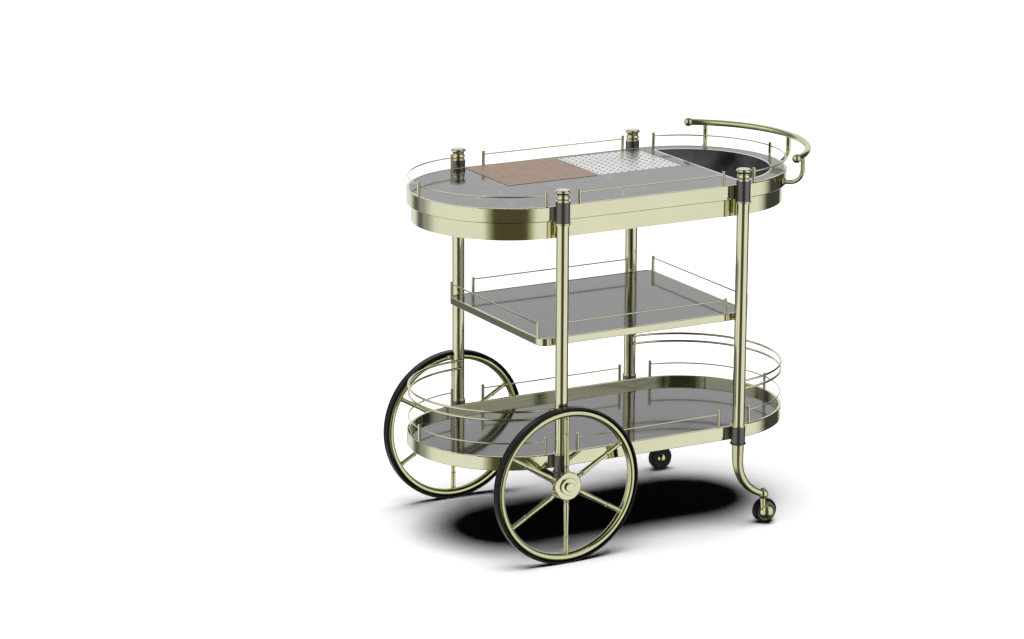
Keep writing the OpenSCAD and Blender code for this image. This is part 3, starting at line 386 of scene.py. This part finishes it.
def node_finishes(finishes):
    """Finishes of single nodes that differ from their slot's finish."""
    return {
        "drip_plate": brushed_steel("plate_steel", PLATE_STEEL, 0.24, 0.34),
        "drip_tray": brushed_steel("tray_steel", TRAY_STEEL, 0.3, 0.4),
        # The ice well's inside carries painted shade and painted reflections
        "ice_well": shaded_well("well_painted_shade_and_reflections"),
        **{name: finishes["shaded_brass"] for name in SHADED_BRASS_NODES},
        "caster_wheel_front": caster_rubber("caster_tread_front", "caster_wheel_front"),
        "caster_wheel_rear": caster_rubber("caster_tread_rear", "caster_wheel_rear"),
    }


def dress_frame(finishes):
    """Gives each piece its own finish, or else the finish of its slot in the record."""
    own = node_finishes(finishes)
    for subpart in frame["record"]["subparts"]:
        name = subpart["node"]
        piece = frame["nodes"][name]
        piece.data.materials.clear()
        piece.data.materials.append(own.get(name) or finishes[subpart["material_slot"]])


def rim_tube(side, finish):
    """A wheel's brass rim as one round tube that reaches from the tyre to the spokes."""
    low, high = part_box("wheel_rim_" + side)
    center = (low + high) / 2
    half_depth = RIM_DEPTH / 2
    tyre_low, tyre_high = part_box("tyre_" + side)
    half_width = (tyre_high[1] - tyre_low[1]) / 2
    line = (high[0] - low[0]) / 2 - half_depth
    made = bmesh.new()
    rings = []
    for step in range(RIM_STEPS):
        turn = 2 * math.pi * step / RIM_STEPS
        ring = []
        for point in range(TUBE_STEPS):
            around = 2 * math.pi * point / TUBE_STEPS
            radius = line + half_depth * math.cos(around)
            across = half_width * math.sin(around)
            offset = Vector((radius * math.cos(turn), across, radius * math.sin(turn)))
            ring.append(made.verts.new(center + offset))
        rings.append(ring)
    for ring, following in zip(rings, rings[1:] + rings[:1]):
        for point in range(TUBE_STEPS):
            beside = (point + 1) % TUBE_STEPS
            corners = (ring[point], ring[beside], following[beside], following[point])
            made.faces.new(corners).smooth = True
    bmesh.ops.recalc_face_normals(made, faces=made.faces)
    mesh = bpy.data.meshes.new("wheel_rim_tube_" + side)
    made.to_mesh(mesh)
    made.free()
    mesh.materials.append(finish)
    tube = bpy.data.objects.new("wheel_rim_tube_" + side, mesh)
    bpy.context.collection.objects.link(tube)
    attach(tube, side + "_wheel")
    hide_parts("wheel_rim_" + side)


def room_color(tree):
    """The studio room's colour in the direction of a reflected ray."""
    direction = tree.nodes.new("ShaderNodeTexCoord").outputs["Generated"]
    axes = axes_of(tree, direction)
    towards_front = math_of(tree, "MULTIPLY", axes["Y"], -1.0)
    azimuth = math_of(tree, "ARCTAN2", axes["X"], towards_front)
    walls = [(math.radians(degrees), color) for degrees, color in ROOM_WALLS]
    colors = []
    for value, stops, limit in ((azimuth, walls, math.pi), (axes["Z"], ROOM_HEIGHTS, 1.0)):
        share = add_node(tree, "ShaderNodeMapRange", From_Min=-limit, From_Max=limit)
        tree.links.new(value, share.inputs["Value"])
        scaled = [((place / limit + 1) / 2, color) for place, color in stops]
        colors.append(ramp(tree, share.outputs["Result"], scaled))
    return vector_of(tree, "MULTIPLY", *colors)


def build_world():
    """White to the camera, a soft low light on matt surfaces, and the room in the metal."""
    world = bpy.data.worlds.new("studio")
    bpy.context.scene.world = world
    world.use_nodes = True
    tree = world.node_tree
    rays = tree.nodes.new("ShaderNodeLightPath").outputs
    # Rays that come off a matt surface first don't see the room
    before_matt = math_of(tree, "LESS_THAN", rays["Diffuse Depth"], 0.5)
    in_metal = math_of(tree, "MULTIPLY", rays["Is Glossy Ray"], before_matt)
    seen = choose(tree, in_metal, room_color(tree), AMBIENT)
    shown = choose(tree, rays["Is Camera Ray"], WHITE, seen)
    tree.links.new(shown, tree.nodes["Background"].inputs["Color"])


def build_sun():
    """One large soft lamp overhead."""
    lamp = bpy.data.lights.new("overhead", "SUN")
    lamp.energy = SUN_STRENGTH
    lamp.angle = math.radians(SUN_SPREAD)
    sun = bpy.data.objects.new("overhead", lamp)
    sun.rotation_euler = Vector(SUN_FROM).to_track_quat("Z", "Y").to_euler()
    sun.visible_glossy = False
    bpy.context.collection.objects.link(sun)


def build_floor():
    """A plain pale floor that keeps the trolley's shadow and stays out of its reflections."""
    half = FLOOR_SPAN / 2
    mesh = bpy.data.meshes.new("floor")
    corners = [(-half, -half, 0.0), (half, -half, 0.0), (half, half, 0.0), (-half, half, 0.0)]
    mesh.from_pydata(corners, [], [(0, 1, 2, 3)])
    floor = bpy.data.objects.new("floor", mesh)
    made, shader = new_material("floor", FLOOR_ROUGHNESS)
    tree = made.node_tree
    rays = tree.nodes.new("ShaderNodeLightPath").outputs
    seen = choose(tree, rays["Is Camera Ray"], FLOOR_COLOR, FLOOR_BOUNCE)
    tree.links.new(seen, shader.inputs["Base Color"])
    shader.inputs["Specular IOR Level"].default_value = 0.0
    mesh.materials.append(made)
    floor.visible_glossy = False
    bpy.context.collection.objects.link(floor)


def build_camera():
    """The photograph's camera."""
    data = bpy.data.cameras.new("camera")
    data.sensor_width = SENSOR_MILLIMETRES
    data.lens = FOCAL_PIXELS * SENSOR_MILLIMETRES / PICTURE_WIDTH
    data.clip_end = CAMERA_REACH
    camera = bpy.data.objects.new("camera", data)
    turn = Matrix.Rotation(math.radians(CAMERA_TURN), 4, "Z")
    tilt = Matrix.Rotation(math.radians(90 - CAMERA_DROP), 4, "X")
    roll = Matrix.Rotation(math.radians(CAMERA_ROLL), 4, "Z")
    low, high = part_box("top_rim")
    along, across, up = CAMERA_FROM_DECKS
    place = Matrix.Translation(((low[0] + high[0]) / 2 + along, across, up))
    camera.matrix_world = place @ turn @ tilt @ roll
    bpy.context.collection.objects.link(camera)
    bpy.context.scene.camera = camera


build_camera()
slot_finishes = make_finishes()
dress_frame(slot_finishes)
for wheel_side in ("front", "rear"):
    # The rim tubes take the darker copy of the brass, as painted shade
    rim_tube(wheel_side, slot_finishes["shaded_brass"])
build_world()
build_sun()
build_floor()
bpy.context.scene.view_settings.view_transform = "Standard"
